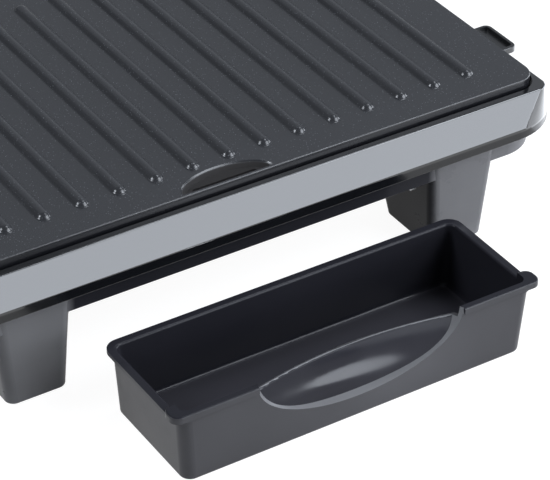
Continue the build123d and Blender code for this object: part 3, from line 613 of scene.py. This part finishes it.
def drawer_finish(colours, sizes):
    """Satin outside, glossy inside and on its rims with painted shade there, painted light on its
    floor and on the step below the scoop, and a painted sheen inside.
    """
    made = Finish("drawer_moulding")
    tree = made.tree
    low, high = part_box("drip_drawer")
    middle = (low + high) / 2
    facing = made.facing()
    looks = axes(tree, facing)
    at = axes(tree, made.place)

    arm = put(tree, "VectorMath", {0: made.place, 1: middle}, operation="SUBTRACT").outputs[0]
    outward = put(tree, "VectorMath", {0: arm, 1: facing}, operation="DOT_PRODUCT")
    inner = sums(tree, "LESS_THAN", outward.outputs["Value"], 0.0)
    level = sums(tree, "GREATER_THAN", looks["Z"], LEVEL)

    aside = sums(tree, "ABSOLUTE", sums(tree, "SUBTRACT", at["X"], middle.x))
    near_front = sums(tree, "LESS_THAN", at["Y"], low.y + SCOOP_REACH)
    scoop = both(tree, near_front, sums(tree, "LESS_THAN", aside, SCOOP_HALF))
    upright_y = sums(tree, "MULTIPLY_ADD", at["Z"], FRONT_LEAN, at["Y"])
    set_back = sums(tree, "GREATER_THAN", upright_y, low.y + FRONT_FACE)
    forward = sums(tree, "LESS_THAN", looks["Y"], DISH_FORWARD)
    dish = both(tree, scoop, forward, set_back)
    above_floor = sums(tree, "GREATER_THAN", at["Z"], SCOOP_FOOT)
    lit_ledge = both(tree, scoop, above_floor, sums(tree, "COMPARE", looks["Y"], *LEDGE_FORWARD))

    # Inner walls, the scoop's dish and the rim tops are glossy and take painted shade.
    walls = both(tree, inner, opposite(tree, lit_ledge))
    tops = both(tree, level, sums(tree, "GREATER_THAN", at["Z"], high.z - FLANGE_DEEP))
    lit_bottom = both(tree, inner, level, sums(tree, "LESS_THAN", at["Z"], FLOOR_TOP))
    polished_and_shaded = sums(tree, "MAXIMUM", tops, sums(tree, "MAXIMUM", walls, dish))

    cloud = made.effect("Grain", Size=sizes.smudge)
    satin = made.shades(cloud, colours.drawer, SATIN_SHADES)
    # Painted light: the step below the scoop takes the lighter colour.
    ledge_lit = mixed(tree, lit_ledge, satin, full(colours.lit_ledge))
    # Painted light: the floor inside takes the lighter floor colour; the walls take the painted
    # shade.
    inside = mixed(tree, lit_bottom, full(colours.drawer_inside_shade), full(colours.drawer_floor_light))
    # Painted sheen: cloudy patches of the glossy inside lean toward the lighter floor colour.
    painted_sheen = sums(tree, "MULTIPLY", cloud, SHEEN_SHARE)
    sheened = mixed(tree, painted_sheen, inside, full(colours.drawer_floor_light))
    grain = made.effect("Grain", Size=sizes.mould_grain)
    made.bump(both(tree, grain, opposite(tree, polished_and_shaded)), SATIN_RELIEF)
    rough_out = made.wear(sizes, DRAWER_ROUGH)
    rough_in = made.wear(sizes, INSIDE_ROUGH)
    return made.done(
        Base_Color=mixed(tree, polished_and_shaded, ledge_lit, sheened),
        Roughness=spread(tree, polished_and_shaded, 0.0, 1.0, rough_out, rough_in), IOR=DRAWER_IOR
    )


def metal_finish(name, colour, sizes, stretch, rough):
    """Rolled or brushed metal with fine lines."""
    made = Finish(name)
    tree = made.tree
    lines = made.effect("Brushed", Size=sizes.brush, Stretch=stretch)
    drift = sums(tree, "MULTIPLY", sums(tree, "SUBTRACT", lines, 0.5), BRUSH_DRIFT)
    made.bump(lines, METAL_RELIEF)
    return made.done(
        Base_Color=made.shades(lines, colour, METAL_SHADES),
        Roughness=sums(tree, "ADD", made.wear(sizes, rough), drift), Metallic=1.0
    )


def heater_finish(colours, sizes):
    """Steel tube with the brown and blue stain of heat."""
    made = Finish("heat_tinted_steel")
    stain = made.effect("Smudges", Size=sizes.smudge, Clean=0.0, Handled=1.0)
    made.bump(made.effect("Grain", Size=sizes.mould_grain), HEATER_RELIEF)
    return made.done(
        Base_Color=mixed(made.tree, stain, full(colours.heater), full(colours.heater_tint)),
        Roughness=made.wear(sizes, HEATER_ROUGH), Metallic=1.0
    )


def plain_finish(name, colour, sizes, grain_size, rough, relief):
    """Insulating compound, rubber or paint: even colour with a fine grain."""
    made = Finish(name)
    grain = made.effect("Grain", Size=grain_size)
    made.bump(grain, relief)
    return made.done(
        Base_Color=made.shades(grain, colour, PLAIN_SHADES), Roughness=made.wear(sizes, rough)
    )


def clear_finish(name, colour, sizes, passed, rough):
    """Lens or bulb that lets light through."""
    made = Finish(name)
    cloud = made.effect("Grain", Size=sizes.coating_grain)
    return made.done(
        Base_Color=made.shades(cloud, colour, CLEAR_SHADES),
        Roughness=made.wear(sizes, rough), Transmission_Weight=passed, IOR=CLEAR_IOR
    )


def sleeve_finish(colours, sizes):
    """Woven sleeve of the heat-proof leads."""
    made = Finish("woven_sleeve")
    weave = made.effect("Braid", Pitch=sizes.braid)
    made.bump(weave, SLEEVE_RELIEF)
    return made.done(
        Base_Color=made.shades(weave, colours.sleeve, SLEEVE_SHADES),
        Roughness=made.wear(sizes, SLEEVE_ROUGH)
    )


def dress(material, *names):
    """Gives CAD nodes their material."""
    for name in names:
        slots = frame["nodes"][name].data.materials
        slots.clear()
        slots.append(material)


def add_piece(name, shape, material, body):
    """Turns a bmesh into a named piece that rides on a body."""
    bmesh.ops.remove_doubles(shape, verts=shape.verts, dist=MERGE_DISTANCE)
    bmesh.ops.recalc_face_normals(shape, faces=shape.faces)
    mesh = bpy.data.meshes.new(name)
    shape.to_mesh(mesh)
    shape.free()
    mesh.materials.append(material)
    piece = bpy.data.objects.new(name, mesh)
    bpy.context.scene.collection.objects.link(piece)
    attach(piece, body)


def add_bar(shape, size, edge, matrix):
    """A small bar with rounded edges, set in place by a matrix."""
    bar = bmesh.new()
    bmesh.ops.create_cube(bar, size=1.0, matrix=Matrix.Diagonal((*size, 1.0)))
    bmesh.ops.bevel(
        bar, geom=bar.edges[:], offset=edge, affect="EDGES", segments=3, profile=0.5, material=-1
    )
    bmesh.ops.transform(bar, matrix=matrix, verts=bar.verts)
    mesh = bpy.data.meshes.new("bar")
    bar.to_mesh(mesh)
    bar.free()
    shape.from_mesh(mesh)
    bpy.data.meshes.remove(mesh)


def settings(context):
    """The three groups of values."""
    scene = context.scene
    return scene.grill_colours, scene.grill_sizes, scene.grill_stage


class GRILL_OT_effects(bpy.types.Operator):
    """Build the surface effects that the finishes share"""

    bl_idname = "grill.effects"
    bl_label = "Shared surface effects"

    def execute(self, context):
        grain_effect()
        fleck_effect()
        smudge_effect()
        brushed_effect()
        band_effect()
        braid_effect()
        return {"FINISHED"}


class GRILL_OT_plate(bpy.types.Operator):
    """Coat the ribbed plate"""

    bl_idname = "grill.plate"
    bl_label = "Plate"

    def execute(self, context):
        colours, sizes, _ = settings(context)
        dress(coating_finish(colours, sizes), "grill_plate")
        return {"FINISHED"}


class GRILL_OT_housings(bpy.types.Operator):
    """Finish the glossy frame, the satin base, the grips and the control pod"""

    bl_idname = "grill.housings"
    bl_label = "Housings and grips"

    def execute(self, context):
        colours, sizes, _ = settings(context)
        dress(gloss_finish(colours, sizes), "upper_housing")
        dress(base_finish(colours, sizes), "lower_housing")
        dress(moulded_finish("pod_moulding", colours.satin, sizes, POD_ROUGH), "control_pod")
        grip = moulded_finish("grip_moulding", colours.grip, sizes, GRIP_ROUGH)
        dress(grip, "front_left_grip", "front_right_grip")
        return {"FINISHED"}


class GRILL_OT_drawer(bpy.types.Operator):
    """Finish the drip drawer, its runners and the chute above it"""

    bl_idname = "grill.drawer"
    bl_label = "Drip drawer"

    def execute(self, context):
        colours, sizes, _ = settings(context)
        dress(drawer_finish(colours, sizes), "drip_drawer")
        rails = metal_finish("zinc_rail", colours.zinc, sizes, ALONG_Y, RAIL_ROUGH)
        dress(rails, "left_runner", "right_runner")
        sheet = metal_finish("bright_chute", colours.bright, sizes, ALONG_X, CHUTE_ROUGH)
        dress(sheet, "drip_chute")
        return {"FINISHED"}


class GRILL_OT_heater(bpy.types.Operator):
    """Finish the heating tube with its tray, bars and fuse, and the insulating pieces"""

    bl_idname = "grill.heater"
    bl_label = "Heater and insulators"

    def execute(self, context):
        colours, sizes, _ = settings(context)
        dress(heater_finish(colours, sizes), "heating_element")
        tray = metal_finish("bright_tray", colours.bright, sizes, ALONG_X, TRAY_ROUGH)
        dress(tray, "reflector_tray")
        bars = metal_finish("zinc_bar", colours.zinc, sizes, ALONG_Y, BAR_ROUGH)
        dress(bars, "element_bar_left", "element_bar_right", "thermal_fuse")
        compound = plain_finish(
            "insulating_compound", colours.insulator, sizes, sizes.coating_grain,
            COMPOUND_ROUGH, COMPOUND_RELIEF
        )
        dress(
            compound, "element_bush_front", "element_bush_rear", "terminal_block", "thermostat_body"
        )
        return {"FINISHED"}


class GRILL_OT_wiring(bpy.types.Operator):
    """Finish the woven leads inside the housing"""

    bl_idname = "grill.wiring"
    bl_label = "Leads"

    def execute(self, context):
        colours, sizes, _ = settings(context)
        sleeve = sleeve_finish(colours, sizes)
        dress(sleeve, "control_lead", "element_lead", "return_lead", "lamp_lead")
        return {"FINISHED"}


class GRILL_OT_rubber(bpy.types.Operator):
    """Finish the foot pads, plate seats and cord gland"""

    bl_idname = "grill.rubber"
    bl_label = "Pads, seats and gland"

    def execute(self, context):
        colours, sizes, _ = settings(context)
        rubber = plain_finish(
            "black_rubber", colours.rubber, sizes, sizes.mould_grain, RUBBER_ROUGH, RUBBER_RELIEF
        )
        corners = ("front_left", "front_right", "rear_left", "rear_right")
        dress(rubber, "cord_gland", *("foot_pad_" + name for name in corners))
        dress(rubber, *("plate_seat_" + name for name in corners))
        return {"FINISHED"}


class GRILL_OT_screws(bpy.types.Operator):
    """Finish the screws and the control's shaft"""

    bl_idname = "grill.screws"
    bl_label = "Screws and shaft"

    def execute(self, context):
        colours, sizes, _ = settings(context)
        zinc = metal_finish("zinc_screw", colours.zinc, sizes, ALONG_Z, SCREW_ROUGH)
        dress(zinc, "housing_screws", "tray_screws", "runner_screws", "thermostat_shaft")
        return {"FINISHED"}


class GRILL_OT_control(bpy.types.Operator):
    """Finish the knob and the heating light"""

    bl_idname = "grill.control"
    bl_label = "Knob and heating light"

    def execute(self, context):
        colours, sizes, _ = settings(context)
        dress(moulded_finish("knob_moulding", colours.knob, sizes, KNOB_ROUGH), "thermostat_knob")
        lens = clear_finish("lamp_lens", colours.lens, sizes, LENS_CLEAR, LENS_ROUGH)
        dress(lens, "pilot_lens")
        bulb = clear_finish("lamp_glass", colours.glass, sizes, BULB_CLEAR, BULB_ROUGH)
        dress(bulb, "pilot_lamp")
        return {"FINISHED"}


class GRILL_OT_dial(bpy.types.Operator):
    """Add the heat marks round the knob and the pale line on its pointer"""

    bl_idname = "grill.dial"
    bl_label = "Heat marks and pointer line"

    def execute(self, context):
        colours, sizes, _ = settings(context)
        white = plain_finish(
            "dial_print", colours.print_white, sizes, sizes.mould_grain, PRINT_ROUGH, PRINT_RELIEF
        )
        pod_low, pod_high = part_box("control_pod")
        knob_low, knob_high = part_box("thermostat_knob")
        middle = (pod_low + pod_high) / 2
        ring = (knob_high.y - knob_low.y) / 2 + sizes.mark_gap
        marks = bmesh.new()
        for i in range(sizes.marks):
            share = i / (sizes.marks - 1)
            long = sizes.mark_length * (FIRST_MARK + (1.0 - FIRST_MARK) * share)
            round_knob = Matrix.Rotation(sizes.sweep * share, 4, "X")
            out = Matrix.Translation((0.0, 0.0, ring + long / 2))
            onto = Matrix.Translation((pod_low.x, middle.y, middle.z))
            bar = (2 * sizes.mark_proud, sizes.mark_width, long)
            add_bar(marks, bar, sizes.mark_proud * BAR_EDGE, onto @ round_knob @ out)
        add_piece("heat_marks", marks, white, "base")
        line = bmesh.new()
        end = (knob_low.x, middle.y, middle.z + sizes.line_length / 2 + sizes.line_width)
        bar = (2 * sizes.line_proud, sizes.line_width, sizes.line_length)
        add_bar(line, bar, sizes.line_proud * BAR_EDGE, Matrix.Translation(end))
        add_piece("pointer_line", line, white, "heat_control")
        return {"FINISHED"}


def floor_material(colour):
    """White table: white to the camera and in gloss and glass, with a soft shadow."""
    material = bpy.data.materials.new("white_table")
    material.use_nodes = True
    tree = material.node_tree
    tree.nodes.clear()
    path = put(tree, "LightPath").outputs
    mirrored = sums(tree, "MAXIMUM", path["Is Glossy Ray"], path["Is Transmission Ray"])
    seen = sums(tree, "MAXIMUM", path["Is Camera Ray"], mirrored)
    lit = put(tree, "BsdfDiffuse", {"Color": full(colour)}).outputs[0]
    shadow = put(tree, "BsdfDiffuse", {"Color": full(colour, FLOOR_SHADOW)}).outputs[0]
    white = put(tree, "Emission", {"Color": (1.0, 1.0, 1.0, 1.0), "Strength": FLOOR_WHITE})
    shown = put(tree, "AddShader", {0: shadow, 1: white.outputs[0]}).outputs[0]
    mix = put(tree, "MixShader", {0: seen, 1: lit, 2: shown})
    put(tree, "OutputMaterial", {"Surface": mix.outputs[0]})
    lay_out(tree)
    return material


def add_floor(scene, stage):
    """The white table."""
    floor = bmesh.new()
    bmesh.ops.create_grid(
        floor, x_segments=2, y_segments=2, size=stage.floor_size / 2,
        matrix=Matrix.Translation((0.0, 0.0, -FLOOR_DROP))
    )
    mesh = bpy.data.meshes.new("white_table")
    floor.to_mesh(mesh)
    floor.free()
    mesh.materials.append(floor_material(stage.floor_colour))
    table = bpy.data.objects.new("white_table", mesh)
    scene.collection.objects.link(table)


def add_room(scene, stage):
    """The even light of a grey room."""
    world = bpy.data.worlds.new("grey_room")
    world.use_nodes = True
    room = world.node_tree.nodes["Background"].inputs
    room["Color"].default_value = (*LAMP_TINT, 1.0)
    room["Strength"].default_value = stage.world
    scene.world = world


def add_lamp(scene, name, watts, place, aim, width, height, shape):
    """A softbox or lit card that looks at a point."""
    lamp = bpy.data.lights.new(name, "AREA")
    lamp.shape = shape
    lamp.size = width
    lamp.size_y = height
    lamp.energy = watts
    lamp.color = LAMP_TINT
    holder = bpy.data.objects.new(name, lamp)
    scene.collection.objects.link(holder)
    holder.location = place
    holder.rotation_mode = "QUATERNION"
    holder.rotation_quaternion = (Vector(aim) - Vector(place)).to_track_quat("-Z", "Y")
    holder.visible_camera = False


def add_camera(scene, stage):
    """The camera at the photograph's angle."""
    camera = bpy.data.cameras.new("photo_camera")
    camera.sensor_fit = "HORIZONTAL"
    camera.sensor_width = SENSOR_WIDTH
    camera.lens = stage.lens
    camera.clip_end = VIEW_REACH
    holder = bpy.data.objects.new("photo_camera", camera)
    scene.collection.objects.link(holder)
    back = Vector((
        math.sin(stage.azimuth) * math.cos(stage.elevation),
        -math.cos(stage.azimuth) * math.cos(stage.elevation),
        math.sin(stage.elevation),
    ))
    holder.location = Vector(stage.target) + back * stage.distance
    holder.rotation_mode = "QUATERNION"
    holder.rotation_quaternion = (-back).to_track_quat("-Z", "Y")
    scene.camera = holder


class GRILL_OT_stage(bpy.types.Operator):
    """Set the white table, the room, the lamps and the camera"""

    bl_idname = "grill.stage"
    bl_label = "Stage"

    def execute(self, context):
        _, _, stage = settings(context)
        scene = context.scene
        scene.view_settings.view_transform = "Standard"
        add_floor(scene, stage)
        add_room(scene, stage)
        for name, watts, *rest in LAMPS:
            add_lamp(scene, name, getattr(stage, watts), *rest)
        add_camera(scene, stage)
        return {"FINISHED"}


class GRILL_PT_panel(bpy.types.Panel):
    """Lists the grill's pieces, finishes and values"""

    bl_idname = "GRILL_PT_panel"
    bl_label = "Table grill"
    bl_space_type = "VIEW_3D"
    bl_region_type = "UI"
    bl_category = "Grill"

    def draw(self, context):
        for operator in operators:
            self.layout.operator(operator.bl_idname)
        for group in settings(context):
            box = self.layout.box()
            box.label(text=group.bl_rna.description)
            for name in group.__annotations__:
                box.prop(group, name)


operators = (
    GRILL_OT_effects, GRILL_OT_plate, GRILL_OT_housings, GRILL_OT_drawer, GRILL_OT_heater,
    GRILL_OT_wiring, GRILL_OT_rubber, GRILL_OT_screws, GRILL_OT_control, GRILL_OT_dial,
    GRILL_OT_stage,
)
classes = (GrillColours, GrillSizes, GrillStage, *operators, GRILL_PT_panel)


def register():
    """Adds the classes and their values to the scene."""
    for cls in classes:
        bpy.utils.register_class(cls)
    bpy.types.Scene.grill_colours = bpy.props.PointerProperty(type=GrillColours)
    bpy.types.Scene.grill_sizes = bpy.props.PointerProperty(type=GrillSizes)
    bpy.types.Scene.grill_stage = bpy.props.PointerProperty(type=GrillStage)


def unregister():
    """Takes the values and classes away again."""
    del bpy.types.Scene.grill_stage
    del bpy.types.Scene.grill_sizes
    del bpy.types.Scene.grill_colours
    for cls in reversed(classes):
        bpy.utils.unregister_class(cls)


def main():
    """Dresses the grill and sets the stage."""
    register()
    for operator in operators:
        group, name = operator.bl_idname.split(".")
        getattr(getattr(bpy.ops, group), name)()


if __name__ == "__main__":
    main()
